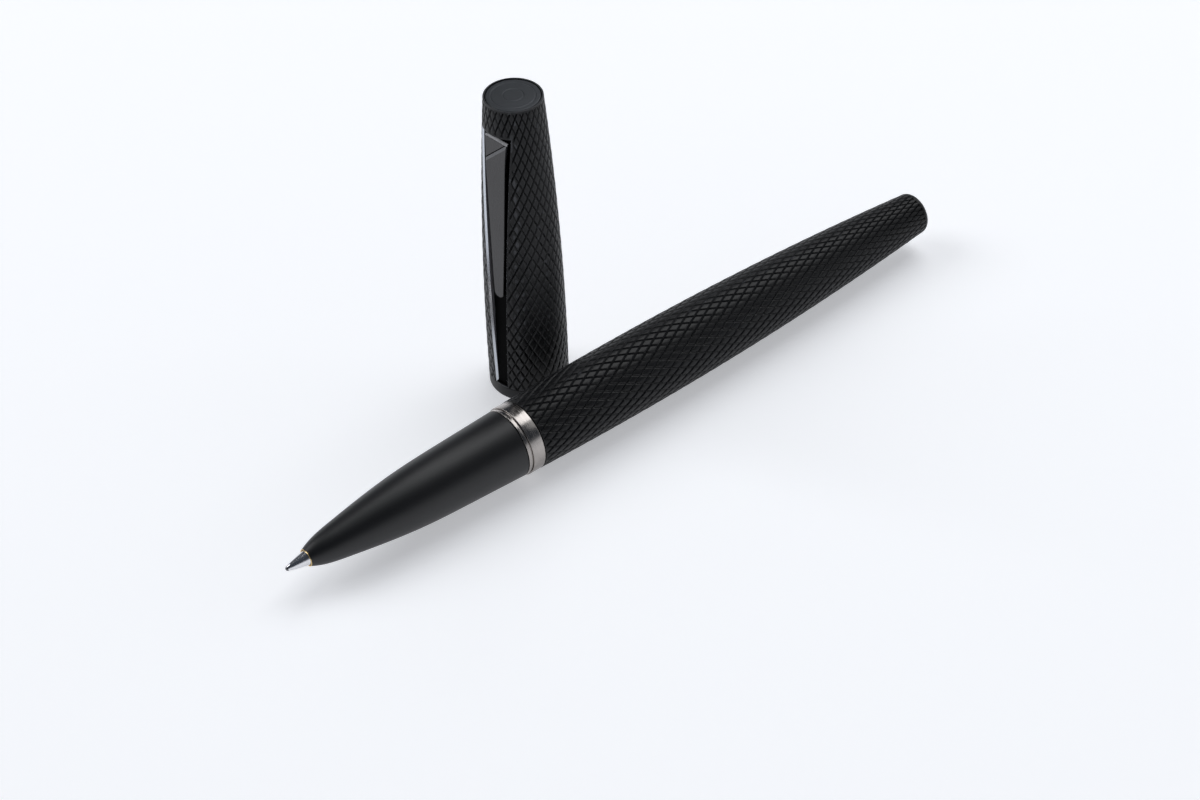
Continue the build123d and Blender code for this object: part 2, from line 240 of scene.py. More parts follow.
def onCap(station, radius, angle):
    turn = clipAngle + angle
    return (capOrigin.x + radius * math.cos(turn) * mm, capOrigin.y + radius * math.sin(turn) * mm,
            capOrigin.z + station * mm)


clipAngle = math.atan2(clipOut.y, clipOut.x)

# Diamond engraving: two crossing sets of grooves
engraving = dict(steps=12, pitch=2.85, capPitch=2.793, deepGroove=0.19, shallowGroove=0.13, crown=0.05,
                 grooveWidth=0.17, edgeFade=0.2)


def diamondRelief(start, end, plainAt=None):
    # one set of grooves is cut deeper than the other; plainAt(station, column) is 1 where nothing is cut
    e = engraving

    def depthAt(row, column, station):
        n = e["steps"]
        u = ((column + row) % n) / n
        v = ((column - row) % n) / n
        nearU, nearV = min(u, 1 - u), min(v, 1 - v)
        deep = e["deepGroove"] * max(0.0, 1 - nearV / e["grooveWidth"])
        shallow = e["shallowGroove"] * max(0.0, 1 - nearU / e["grooveWidth"])
        pillow = e["crown"] * (1 - 2 * min(nearU, nearV)) ** 2
        edge = max(0.0, min(1.0, (station - start) / e["edgeFade"], (end - station) / e["edgeFade"]))
        if plainAt:
            edge *= 1 - plainAt(station, column)
        return (max(deep, shallow) + pillow) * edge
    return depthAt


def engravedRows(start, end, steps, pitch):
    # evenly spaced stations of the carved rows, close to the given number of steps in one pitch
    count = int(round((end - start) / (pitch / steps)))
    return [start + (end - start) * i / count for i in range(count + 1)]


# Shared shader groups
def newGroup(name, inputs, outputs):
    group = bpy.data.node_groups.new(name, "ShaderNodeTree")
    for socketName, kind, value in inputs:
        socket = group.interface.new_socket(name=socketName, in_out="INPUT", socket_type=kind)
        socket.default_value = value
    for socketName, kind in outputs:
        group.interface.new_socket(name=socketName, in_out="OUTPUT", socket_type=kind)
    return group, group.nodes.new("NodeGroupInput"), group.nodes.new("NodeGroupOutput")


def link(tree, source, target):
    tree.links.new(source, target)


def buildFineGrain():
    # blasted or anodised skin: a small cell grain over a soft cloudiness
    group, given, out = newGroup(
        "fineGrain",
        [("Grain Size", "NodeSocketFloat", 9000.0), ("Cloud Size", "NodeSocketFloat", 120.0)],
        [("Grain", "NodeSocketFloat"), ("Cloud", "NodeSocketFloat")])
    where = group.nodes.new("ShaderNodeTexCoord")
    grain = group.nodes.new("ShaderNodeTexNoise")
    grain.inputs["Detail"].default_value = 3.0
    cloud = group.nodes.new("ShaderNodeTexNoise")
    cloud.inputs["Detail"].default_value = 4.0
    for noise, size in ((grain, "Grain Size"), (cloud, "Cloud Size")):
        link(group, where.outputs["Object"], noise.inputs["Vector"])
        link(group, given.outputs[size], noise.inputs["Scale"])
    link(group, grain.outputs["Fac"], out.inputs["Grain"])
    link(group, cloud.outputs["Fac"], out.inputs["Cloud"])
    return group


def buildCrestWearAndHighlight():
    # a mask on crests where the surface turns sharply outwards, broken into patches: partly rubbed wear, partly a
    # painted highlight on the crests
    group, given, out = newGroup(
        "crestWearAndHighlight",
        [("Start", "NodeSocketFloat", 0.52), ("End", "NodeSocketFloat", 0.62),
         ("Patch Size", "NodeSocketFloat", 400.0)],
        [("Mask", "NodeSocketFloat")])
    geometry = group.nodes.new("ShaderNodeNewGeometry")
    ramp = group.nodes.new("ShaderNodeMapRange")
    ramp.clamp = True
    link(group, geometry.outputs["Pointiness"], ramp.inputs["Value"])
    link(group, given.outputs["Start"], ramp.inputs["From Min"])
    link(group, given.outputs["End"], ramp.inputs["From Max"])
    where = group.nodes.new("ShaderNodeTexCoord")
    noise = group.nodes.new("ShaderNodeTexNoise")
    link(group, where.outputs["Object"], noise.inputs["Vector"])
    link(group, given.outputs["Patch Size"], noise.inputs["Scale"])
    both = group.nodes.new("ShaderNodeMath")
    both.operation = "MULTIPLY"
    link(group, ramp.outputs["Result"], both.inputs[0])
    link(group, noise.outputs["Fac"], both.inputs[1])
    link(group, both.outputs["Value"], out.inputs["Mask"])
    return group


def buildPolishMarks():
    # very fine turned lines round an axis: noise stretched hard along one direction
    group, given, out = newGroup(
        "polishMarks",
        [("Stretch", "NodeSocketVector", (1.0, 1.0, 1.0)), ("Size", "NodeSocketFloat", 4000.0)],
        [("Lines", "NodeSocketFloat")])
    where = group.nodes.new("ShaderNodeTexCoord")
    stretch = group.nodes.new("ShaderNodeVectorMath")
    stretch.operation = "MULTIPLY"
    noise = group.nodes.new("ShaderNodeTexNoise")
    noise.inputs["Detail"].default_value = 2.0
    link(group, where.outputs["Object"], stretch.inputs[0])
    link(group, given.outputs["Stretch"], stretch.inputs[1])
    link(group, stretch.outputs["Vector"], noise.inputs["Vector"])
    link(group, given.outputs["Size"], noise.inputs["Scale"])
    link(group, noise.outputs["Fac"], out.inputs["Lines"])
    return group


fineGrain = buildFineGrain()
crestWearAndHighlight = buildCrestWearAndHighlight()
polishMarks = buildPolishMarks()


def placeGroup(tree, group, **values):
    node = tree.nodes.new("ShaderNodeGroup")
    node.node_tree = group
    for name, value in values.items():
        node.inputs[name.replace("_", " ")].default_value = value
    return node


def mapTo(tree, source, low, high):
    node = tree.nodes.new("ShaderNodeMapRange")
    node.inputs["From Min"].default_value = 0.3
    node.inputs["From Max"].default_value = 0.7
    node.inputs["To Min"].default_value = low
    node.inputs["To Max"].default_value = high
    link(tree, source, node.inputs["Value"])
    return node.outputs["Result"]


def mixColours(tree, factor, first, second):
    node = tree.nodes.new("ShaderNodeMix")
    node.data_type = "RGBA"
    link(tree, factor, node.inputs["Factor"])
    for socket, value in ((node.inputs["A"], first), (node.inputs["B"], second)):
        if isinstance(value, tuple):
            socket.default_value = (*value, 1)
        else:
            link(tree, value, socket)
    return node.outputs["Result"]


def addBump(tree, shader, height, strength, distance):
    bump = tree.nodes.new("ShaderNodeBump")
    bump.inputs["Strength"].default_value = strength
    bump.inputs["Distance"].default_value = distance
    link(tree, height, bump.inputs["Height"])
    link(tree, bump.outputs["Normal"], shader.inputs["Normal"])


def newMaterial(name):
    material = bpy.data.materials.new(name)
    material.use_nodes = True
    tree = material.node_tree
    return material, tree, tree.nodes["Principled BSDF"]


def startFinish(name, look):
    # a material whose tone follows the clouds of its grain
    material, tree, shader = newMaterial(name)
    grain = placeGroup(tree, fineGrain, Grain_Size=look["grainSize"], Cloud_Size=look["cloudSize"])
    base = mixColours(tree, grain.outputs["Cloud"], look["dark"], look["light"])
    return material, tree, shader, grain, base


def finishSurface(tree, shader, look, gloss, height):
    link(tree, mapTo(tree, gloss, look["roughLow"], look["roughHigh"]), shader.inputs["Roughness"])
    addBump(tree, shader, height, look["bump"], look["bumpDepth"])


def blackMetal(name, look):
    # black anodised or lacquered metal with cloudy tone, fine grain and crests lightened partly by rubbed wear and
    # partly by a painted highlight
    material, tree, shader, grain, base = startFinish(name, look)
    crestLight = placeGroup(tree, crestWearAndHighlight, Start=look["crestLightStart"], End=look["crestLightEnd"], Patch_Size=look["crestLightPatch"])
    link(tree, mixColours(tree, crestLight.outputs["Mask"], base, look["wornAndHighlight"]), shader.inputs["Base Color"])
    shader.inputs["Specular IOR Level"].default_value = look["specular"]
    finishSurface(tree, shader, look, grain.outputs["Cloud"], grain.outputs["Grain"])
    return material


def platedMetal(name, look):
    # plated metal: tone and gloss broken by fine lines and clouds
    material, tree, shader, grain, base = startFinish(name, look)
    lines = placeGroup(tree, polishMarks, Stretch=look["stretch"], Size=look["lineSize"])
    link(tree, base, shader.inputs["Base Color"])
    shader.inputs["Metallic"].default_value = look["metallic"]
    finishSurface(tree, shader, look, lines.outputs["Lines"], lines.outputs["Lines"])
    return material


def mouldedPlastic(name, look):
    material, tree, shader, grain, base = startFinish(name, look)
    link(tree, base, shader.inputs["Base Color"])
    finishSurface(tree, shader, look, grain.outputs["Grain"], grain.outputs["Grain"])
    return material


# the pale crest tone here is partly rubbed wear and partly a painted highlight along the engraving's ridges
engravedBlack = blackMetal("engravedBlack", dict(
    dark=(0.0014, 0.0015, 0.0020), light=(0.0026, 0.0028, 0.0038), wornAndHighlight=(0.075, 0.077, 0.085),
    roughLow=0.38, roughHigh=0.46, grainSize=9000.0, cloudSize=90.0, crestLightStart=0.515, crestLightEnd=0.57,
    crestLightPatch=500.0, specular=0.28, bump=0.25, bumpDepth=0.00002))
satinBlack = blackMetal("satinBlack", dict(
    dark=(0.0018, 0.0020, 0.0028), light=(0.0030, 0.0033, 0.0045), wornAndHighlight=(0.01, 0.01, 0.012),
    roughLow=0.40, roughHigh=0.46, grainSize=14000.0, cloudSize=70.0, crestLightStart=0.56, crestLightEnd=0.70,
    crestLightPatch=300.0, specular=0.5, bump=0.10, bumpDepth=0.00001))
# a nearly black, nearly unreflecting finish: painted shade for the channel floor, the slot behind the clip's head
# and the dark line of the clip's crease
paintedShadeBlack = blackMetal("paintedShadeBlack", dict(
    dark=(0.0004, 0.0004, 0.0005), light=(0.0008, 0.0008, 0.0010), wornAndHighlight=(0.002, 0.002, 0.0025),
    roughLow=0.60, roughHigh=0.70, grainSize=9000.0, cloudSize=90.0, crestLightStart=0.55, crestLightEnd=0.65,
    crestLightPatch=500.0, specular=0.03, bump=0.3, bumpDepth=0.00002))
trimGunmetal = platedMetal("trimGunmetal", dict(
    dark=(0.20, 0.182, 0.170), light=(0.56, 0.525, 0.50), roughLow=0.16, roughHigh=0.28, metallic=1.0,
    grainSize=5000.0, cloudSize=150.0, stretch=(40.0, 1.0, 1.0), lineSize=300.0, bump=0.04,
    bumpDepth=0.000004))
channelWall = platedMetal("channelWall", dict(
    dark=(0.17, 0.17, 0.18), light=(0.21, 0.21, 0.22), roughLow=0.46, roughHigh=0.56, metallic=0.15,
    grainSize=8000.0, cloudSize=120.0, stretch=(1.0, 1.0, 0.04), lineSize=5000.0, bump=0.08,
    bumpDepth=0.000006))
brightEdge = platedMetal("brightEdge", dict(
    dark=(0.54, 0.57, 0.62), light=(0.68, 0.71, 0.76), roughLow=0.20, roughHigh=0.28, metallic=1.0,
    grainSize=8000.0, cloudSize=200.0, stretch=(1.0, 1.0, 0.04), lineSize=5000.0, bump=0.06,
    bumpDepth=0.000005))
# a lighter copy of the clip's gunmetal for its bevels: painted highlight
clipBevelHighlight = platedMetal("clipBevelHighlight", dict(
    dark=(0.11, 0.11, 0.115), light=(0.15, 0.15, 0.155), roughLow=0.34, roughHigh=0.44, metallic=1.0,
    grainSize=8000.0, cloudSize=200.0, stretch=(1.0, 1.0, 0.04), lineSize=5000.0, bump=0.06,
    bumpDepth=0.000005))
clipGunmetal = platedMetal("clipGunmetal", dict(
    dark=(0.062, 0.061, 0.062), light=(0.077, 0.076, 0.077), roughLow=0.24, roughHigh=0.32, metallic=1.0,
    grainSize=8000.0, cloudSize=120.0, stretch=(1.0, 1.0, 0.04), lineSize=6000.0, bump=0.08,
    bumpDepth=0.000006))
finialGrey = platedMetal("finialGrey", dict(
    dark=(0.030, 0.033, 0.037), light=(0.044, 0.048, 0.054), roughLow=0.36, roughHigh=0.46, metallic=0.6,
    grainSize=8000.0, cloudSize=260.0, stretch=(1.0, 1.0, 1.0), lineSize=7000.0, bump=0.10,
    bumpDepth=0.000008))
pointSteel = platedMetal("pointSteel", dict(
    dark=(0.62, 0.62, 0.64), light=(0.80, 0.80, 0.82), roughLow=0.14, roughHigh=0.26, metallic=1.0,
    grainSize=9000.0, cloudSize=600.0, stretch=(30.0, 1.0, 1.0), lineSize=900.0, bump=0.08,
    bumpDepth=0.000004))
carbideGrey = platedMetal("carbideGrey", dict(
    dark=(0.10, 0.10, 0.11), light=(0.18, 0.18, 0.19), roughLow=0.15, roughHigh=0.30, metallic=1.0,
    grainSize=20000.0, cloudSize=3000.0, stretch=(1.0, 1.0, 1.0), lineSize=9000.0, bump=0.05,
    bumpDepth=0.000002))
turnedBrass = platedMetal("turnedBrass", dict(
    dark=(0.62, 0.44, 0.18), light=(0.80, 0.60, 0.28), roughLow=0.18, roughHigh=0.32, metallic=1.0,
    grainSize=6000.0, cloudSize=200.0, stretch=(30.0, 1.0, 1.0), lineSize=500.0, bump=0.10,
    bumpDepth=0.000005))
springWire = platedMetal("springWire", dict(
    dark=(0.45, 0.45, 0.47), light=(0.62, 0.62, 0.64), roughLow=0.20, roughHigh=0.34, metallic=1.0,
    grainSize=9000.0, cloudSize=500.0, stretch=(1.0, 1.0, 1.0), lineSize=4000.0, bump=0.08,
    bumpDepth=0.000004))
refillTubeMetal = platedMetal("refillTubeMetal", dict(
    dark=(0.42, 0.42, 0.44), light=(0.55, 0.55, 0.57), roughLow=0.24, roughHigh=0.36, metallic=1.0,
    grainSize=9000.0, cloudSize=90.0, stretch=(0.05, 1.0, 1.0), lineSize=3000.0, bump=0.06,
    bumpDepth=0.000004))
innerPlastic = mouldedPlastic("innerPlastic", dict(
    dark=(0.020, 0.020, 0.022), light=(0.032, 0.032, 0.034), roughLow=0.38, roughHigh=0.50,
    grainSize=5000.0, cloudSize=200.0, bump=0.15, bumpDepth=0.00001))
refillPlastic = mouldedPlastic("refillPlastic", dict(
    dark=(0.022, 0.022, 0.026), light=(0.035, 0.035, 0.040), roughLow=0.22, roughHigh=0.34,
    grainSize=6000.0, cloudSize=240.0, bump=0.08, bumpDepth=0.000006))
inkFibre = mouldedPlastic("inkFibre", dict(
    dark=(0.006, 0.006, 0.020), light=(0.018, 0.018, 0.050), roughLow=0.70, roughHigh=0.90,
    grainSize=7000.0, cloudSize=900.0, bump=0.6, bumpDepth=0.00004))

nodeFinishes = {
    "barrel_thread_insert": turnedBrass, "barrel_liner": turnedBrass, "spring_seat": innerPlastic,
    "refill_spring": springWire, "refill_shoulder_plug": refillPlastic,
    "ink_feed_rod": inkFibre, "refill_tube": refillTubeMetal, "ink_reservoir": inkFibre,
    "refill_end_plug": refillPlastic, "cap_snap_ring": springWire, "inner_cap": innerPlastic,
    "clip_carrier": turnedBrass, "clip_pivot_pin": springWire, "clip_spring": springWire,
    "finial_plug": turnedBrass,
}


def finishNodes():
    for node, material in nodeFinishes.items():
        for slot in bpy.data.objects[node].material_slots:
            slot.material = material


# Barrel
barrelShape = dict(starts=28, frontRadius=5.84, middleRadius=5.93, tailRadius=3.6, tailRounding=0.9, tailSteps=8,
                   frontLip=0.12, lipDepth=0.12, lipRise=0.04, rimDepth=0.22, bore=3.6, boreEnd=121.0, drillTip=1.5,
                   socket=4.6, socketEnd=53.0)


def buildBarrel():
    s = barrelShape
    front, tail = penStation("barrel_shell", "front"), penStation("barrel_shell", "rear")
    middle = ((front + tail) / 2, s["middleRadius"])
    radiusAt = arcThrough((front, s["frontRadius"]), middle, (tail, s["tailRadius"]))
    carvedEnd = tail - s["tailRounding"]
    rows = engravedRows(front + s["frontLip"], carvedEnd, engraving["steps"], engraving["pitch"])
    outline = [(front, s["socket"]), (front, s["frontRadius"] - s["rimDepth"]),
               (front + s["lipRise"], s["frontRadius"] - s["lipDepth"])]
    firstCarved = len(outline)
    outline += [(x, radiusAt(x)) for x in rows]
    lastCarved = len(outline) - 1
    endRadius = radiusAt(carvedEnd)
    for k in range(1, s["tailSteps"] + 1):
        a = math.pi / 2 * k / s["tailSteps"]
        fall = s["tailRounding"] * (1 - math.cos(a))
        outline.append((carvedEnd + s["tailRounding"] * math.sin(a), endRadius - fall))
    outline += [(tail, endRadius * 0.5), (tail, 0), (s["boreEnd"] + s["drillTip"], 0), (s["boreEnd"], s["bore"]),
                (s["socketEnd"], s["bore"]), (s["socketEnd"], s["socket"])]
    columns = s["starts"] * engraving["steps"]
    vertices, faces = turnedMesh(outline, columns, onPen, relief=diamondRelief(rows[0], rows[-1]),
                                 reliefRows=(firstCarved, lastCarved), cell=engraving["steps"])
    piece = newPiece("engravedBarrel", vertices, faces, "barrel", ["barrel_shell"])
    piece.data.materials.append(engravedBlack)
    print("barrel", len(vertices), "points")


# Trim ring
ringShape = dict(bore=4.12, lipRadius=5.62, lipLength=0.75, bandRadius=5.81, grooveDepth=0.16, grooveLength=0.16,
                 rounding=0.07, columns=192)


def buildTrimRing():
    s = ringShape
    front, rear = penStation("trim_ring", "front"), penStation("trim_ring", "rear")
    lipEnd = front + s["lipLength"]
    grooveStart, grooveRadius = lipEnd - s["grooveLength"], s["lipRadius"] - s["grooveDepth"]
    corners = [(front, s["bore"]), (front, s["lipRadius"]), (grooveStart, s["lipRadius"]),
               (grooveStart, grooveRadius), (lipEnd, grooveRadius), (lipEnd, s["bandRadius"]),
               (rear, s["bandRadius"]), (rear, s["bore"])]
    vertices, faces = turnedMesh(roundedCorners(corners, s["rounding"], 4), s["columns"], onPen)
    piece = newPiece("trimBand", vertices, faces, "trim_ring", ["trim_ring"], 40)
    piece.data.materials.append(trimGunmetal)
    print("trim ring done")


# Grip
gripShape = dict(outline=[(5.0, 1.95), (9.4, 2.95), (22.5, 4.73), (31.8, 5.23)], mouthRadius=1.45, rearRadius=5.6,
                 bore=4.4, noseBore=1.43, seatFront=11.4, seatRear=14.6, refillBore=3.3, socketDepth=11.0,
                 mouthStart=0.12, rearEdge=0.08, rearLip=0.1, samples=90, columns=160)
bushShape = dict(inner=1.3, outer=1.425, rounding=0.05, columns=96)


def buildGrip():
    s = gripShape
    front, rear = penStation("grip_section", "front"), penStation("grip_section", "rear")
    ends = (front + s["mouthStart"], s["mouthRadius"] + 0.02), (rear - s["rearEdge"], s["rearRadius"])
    skin = smoothCurve([ends[0]] + s["outline"] + [ends[1]], s["samples"])
    mouth = [(front + 0.35, s["noseBore"]), (front + 0.03, s["noseBore"] + 0.005)]
    inside = [(rear, s["rearRadius"] - s["rearLip"]), (rear, s["bore"]), (rear - s["socketDepth"], s["bore"]),
              (rear - s["socketDepth"], s["refillBore"]), (s["seatRear"], s["refillBore"]),
              (s["seatFront"], s["noseBore"])]
    vertices, faces = turnedMesh(mouth + skin + inside, s["columns"], onPen)
    piece = newPiece("gripSkin", vertices, faces, "grip", ["grip_section"], 35)
    piece.data.materials.append(satinBlack)
    b = bushShape
    front, rear = penStation("nose_bush", "front"), penStation("nose_bush", "rear")
    corners = [(rear, b["outer"]), (rear, b["inner"]), (front, b["inner"]), (front, b["outer"])]
    vertices, faces = turnedMesh(roundedCorners(corners, b["rounding"], 3), b["columns"], onPen)
    bush = newPiece("noseBush", vertices, faces, "grip", ["nose_bush"], 40)
    bush.data.materials.append(turnedBrass)
    print("grip done")


# Screw thread between grip and barrel
threadShape = dict(lead=0.75, depth=0.34, flank=1.7, rowsPerTurn=12, columns=96, runOut=0.5, bore=3.3, crest=3.98,
                   socket=4.4, socketDepth=11.0, crestWidth=0.35, startGap=0.25, endChamfer=0.1)


def buildThread():
    s = threadShape
    front, neckEnd = penStation("section_thread_sleeve", "front"), penStation("section_thread_sleeve", "rear")
    shoulder = front + s["socketDepth"]
    start, end = shoulder + s["startGap"], neckEnd - s["endChamfer"]
    rows = engravedRows(start, end, s["rowsPerTurn"], s["lead"])

    def helixDepth(row, column, station):
        across = abs(2 * ((station / s["lead"] + column / s["columns"]) % 1) - 1)
        cut = min(1.0, max(0.0, s["flank"] * across - s["crestWidth"]))
        fade = min(1.0, (station - start) / s["runOut"], (end - station) / s["runOut"])
        return s["depth"] * cut * max(0.0, fade)

    outline = [(neckEnd, s["bore"]), (front, s["bore"]), (front, s["socket"]), (shoulder, s["socket"]),
               (shoulder, s["crest"])]
    firstCarved = len(outline)
    outline += [(x, s["crest"]) for x in rows] + [(neckEnd, s["crest"] - s["endChamfer"])]
    vertices, faces = turnedMesh(outline, s["columns"], onPen, relief=helixDepth,
                                 reliefRows=(firstCarved, firstCarved + len(rows) - 1), cell=s["columns"])
    piece = newPiece("threadedSleeve", vertices, faces, "grip", ["section_thread_sleeve"], 40)
    piece.data.materials.append(turnedBrass)
    print("thread done")


# Writing point
pointShape = dict(tipRadius=0.42, collarFront=0.62, collarRear=0.66, collarRise=0.08, baseStation=3.85,
                  baseRadius=1.24, edge=0.04, bulge=0.03, coneSteps=14, stepStation=6.0, stemRadius=0.85,
                  socket=0.37, channel=0.2, socketDepth=0.8, columns=96)
ballShape = dict(radius=0.35, rounds=16, columns=32)


def buildPoint():
    s = pointShape
    front, rear = penStation("refill_point", "front"), penStation("refill_point", "rear")
    coneStart = s["tipRadius"] + s["collarRise"]
    coneLength = s["baseStation"] - 0.1 - s["collarRear"]
    outline = [(front, s["socket"]), (front, s["tipRadius"] - 0.03), (front + s["edge"], s["tipRadius"]),
               (s["collarFront"], s["tipRadius"] + 0.05), (s["collarRear"], coneStart)]
    for k in range(1, s["coneSteps"] + 1):
        t = k / s["coneSteps"]
        swell = s["bulge"] * math.sin(math.pi * t)
        outline.append((s["collarRear"] + coneLength * t,
                        coneStart + (s["baseRadius"] - s["edge"] - coneStart) * t + swell))
    outline += [(s["baseStation"] - s["edge"], s["baseRadius"]), (s["stepStation"], s["baseRadius"]),
                (s["stepStation"], s["stemRadius"]), (rear, s["stemRadius"]), (rear, s["channel"]),
                (s["socketDepth"], s["channel"]), (s["socketDepth"], s["socket"])]
    vertices, faces = turnedMesh(outline, s["columns"], onPen)
    piece = newPiece("writingPoint", vertices, faces, "refill", ["refill_point"], 32)
    piece.data.materials.append(pointSteel)
    b = ballShape
    turns = [math.pi * k / b["rounds"] for k in range(1, b["rounds"])]
    outline = [(0, 0)] + [(b["radius"] * (1 - math.cos(a)), b["radius"] * math.sin(a)) for a in turns]
    outline.append((2 * b["radius"], 0))
    vertices, faces = turnedMesh(outline, b["columns"], onPen, closed=False)
    ball = newPiece("pointBall", vertices, faces, "ball", ["writing_ball"], 60)
    ball.data.materials.append(carbideGrey)
    print("writing point done")


# Cap
capShape = dict(starts=28, mouthRadius=6.45, middleRadius=6.12, topRadius=4.55, mouthBand=2.1, topBand=0.22,
                rimInner=5.96, mouthEdge=[(0.0, 0.12), (0.03, 0.05)], mouthEdgeEnd=0.12, bandEdge=0.1,
                bandStep=0.04, bandStepDepth=0.06, topEdge=[(0.05, 0.01), (0.0, 0.09)], topEdgeStart=0.12,
                topInner=4.30, sharpAngle=28)
capBore = [(54.94, 4.26), (53.2, 4.26), (52.6, 3.3), (42.6, 3.3), (42.6, 3.75), (30.0, 3.75), (27.0, 4.2),
           (22.0, 4.8), (10.0, 5.5), (1.9, 5.92), (1.9, 6.08), (0.6, 6.08), (0.6, 5.92), (0.05, 5.92)]
channelShape = dict(low=2.3, high=50.3, floorLow=6.12, floorHigh=3.62, halfLow=0.95, halfHigh=2.72,
                    rimChamfer=0.34, flare=1.2, outer=9.0, border=0.45, borderFade=0.2, stations=16,
                    slotHalf=0.95, slotLow=45.05, slotHigh=49.15, slotInner=3.0)
capHeight = (shellHigh.z - shellLow.z) / mm
capRadiusAt = arcThrough((0, capShape["mouthRadius"]), (capHeight / 2, capShape["middleRadius"]),
                         (capHeight, capShape["topRadius"]))


def alongChannel(z, size):
    # a size of the channel that changes evenly from its lower to its upper end
    s = channelShape
    low, high = s[size + "Low"], s[size + "High"]
    return low + (high - low) * (z - s["low"]) / (s["high"] - s["low"])


def floorReach(z):
    return alongChannel(z, "floor")


def channelHalf(z):
    return alongChannel(z, "half")


def clipPoint(reach, side, z):
    # reach outwards from the cap axis, side to the clip's right, height above the mouth, all in mm
    p = capOrigin + clipOut * reach * mm - clipSide * side * mm
    return (p.x, p.y, capOrigin.z + z * mm)


def channelBorder(z, angle):
    # 1 on the plain border left round the channel, falling to 0 outside it
    s = channelShape
    if math.cos(angle) < 0:
        return 0
    side = abs(capRadiusAt(z) * math.sin(angle))
    beyond = max(side - channelHalf(z), z - s["high"], s["low"] - z)
    return max(0.0, min(1.0, (s["border"] - beyond) / s["borderFade"] + 0.5))


def channelCutter():
    # a tapering channel with a flat floor, straight walls and a narrow chamfer along both rims; the floor is
    # painted nearly black as painted shade
    s = channelShape
    points = []
    for k in range(s["stations"] + 1):
        z = s["low"] + (s["high"] - s["low"]) * k / s["stations"]
        floor, half, outer = floorReach(z), channelHalf(z), s["outer"]
        rim = math.sqrt(capRadiusAt(z) ** 2 - half ** 2)
        wallTop, flareTop, wide = rim - s["rimChamfer"], rim + s["flare"], half + s["rimChamfer"] + s["flare"]
        profile = [(floor, -half), (floor, half), (wallTop, half), (flareTop, wide),
                   (outer, wide), (outer, -wide), (flareTop, -wide), (wallTop, -half)]
        points += [clipPoint(reach, side, z) for reach, side in profile]
    finishes = [paintedShadeBlack, channelWall, brightEdge, engravedBlack,
                engravedBlack, engravedBlack, brightEdge, channelWall]
    return barFrom(points, [paintedShadeBlack, channelWall, brightEdge, engravedBlack], finishes, engravedBlack)


def slotCutter():
    # the opening behind the clip's head, where its tongue goes into the cap; its walls are painted nearly black as
    # painted shade
    s = channelShape
    inner, outer, half = s["slotInner"], s["outer"], s["slotHalf"]
    points = [clipPoint(reach, side, z) for z in (s["slotLow"], s["slotHigh"])
              for reach, side in ((inner, -half), (inner, half), (outer, half), (outer, -half))]
    return barFrom(points, [paintedShadeBlack], [paintedShadeBlack] * 4, paintedShadeBlack)


def buildCap():
    s = capShape
    bandEnd, bandRadius = s["mouthBand"], capRadiusAt(s["mouthBand"])
    outline = [(0.0, s["rimInner"])] + [(z, s["mouthRadius"] - drop) for z, drop in s["mouthEdge"]]
    outline += [(s["mouthEdgeEnd"], capRadiusAt(s["mouthEdgeEnd"])), (bandEnd * 0.5, capRadiusAt(bandEnd * 0.5)),
                (bandEnd - s["bandEdge"], bandRadius), (bandEnd - s["bandStep"], bandRadius - s["bandStepDepth"])]
    rows = engravedRows(bandEnd, capHeight - s["topBand"], engraving["steps"], engraving["capPitch"])
    firstCarved = len(outline)
    outline += [(z, capRadiusAt(z)) for z in rows]
    lastCarved = len(outline) - 1
    topStart = capHeight - s["topEdgeStart"]
    outline.append((topStart, capRadiusAt(topStart)))
    outline += [(capHeight - down, s["topRadius"] - drop) for down, drop in s["topEdge"]]
    outline += [(capHeight, s["topInner"])] + capBore
    columns = s["starts"] * engraving["steps"]
    relief = diamondRelief(rows[0], rows[-1], lambda z, column: channelBorder(z, 2 * math.pi * column / columns))
    vertices, faces = turnedMesh(outline, columns, onCap, relief=relief,
                                 reliefRows=(firstCarved, lastCarved), cell=engraving["steps"])
    piece = linkMesh("engravedCap", vertices, faces)
    piece.data.materials.append(engravedBlack)
    flipIfInside(piece)
    applyBoolean(piece, channelCutter(), "DIFFERENCE")
    applyBoolean(piece, slotCutter(), "DIFFERENCE")
    shadeByAngle(piece.data, s["sharpAngle"])
    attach(piece, "cap")
    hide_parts("cap_shell")
    print("cap", len(piece.data.vertices), "points", [m.name for m in piece.data.materials])


# Finial
finialShape = dict(radius=4.16, bottom=53.9, top=54.94, dome=0.05, rounding=0.14, roundSteps=5,
                   rings=(1.55, 3.35), ringDepth=0.035, ringWidth=0.10, faceEdge=0.04, faceStep=0.05, columns=160)


def buildFinial():
    s = finialShape
    outline = [(s["bottom"], 0), (s["bottom"], s["radius"])]
    for k in range(s["roundSteps"] + 1):
        a = math.pi / 2 * k / s["roundSteps"]
        outline.append((s["top"] - s["rounding"] * (1 - math.sin(a)),
                        s["radius"] - s["rounding"] * (1 - math.cos(a))))
    radius = s["radius"] - s["rounding"] - s["faceEdge"]
    while radius > s["faceStep"]:
        groove = max(max(0.0, 1 - abs(radius - r) / s["ringWidth"]) for r in s["rings"])
        swell = s["dome"] * (1 - (radius / s["radius"]) ** 2)
        outline.append((s["top"] + swell - s["ringDepth"] * groove, radius))
        radius -= s["faceStep"]
    outline.append((s["top"] + s["dome"], 0))
    vertices, faces = turnedMesh(outline, s["columns"], onCap, closed=False)
    piece = newPiece("finialDisc", vertices, faces, "cap", ["finial_disc"], 40)
    piece.data.materials.append(finialGrey)
    print("finial done")


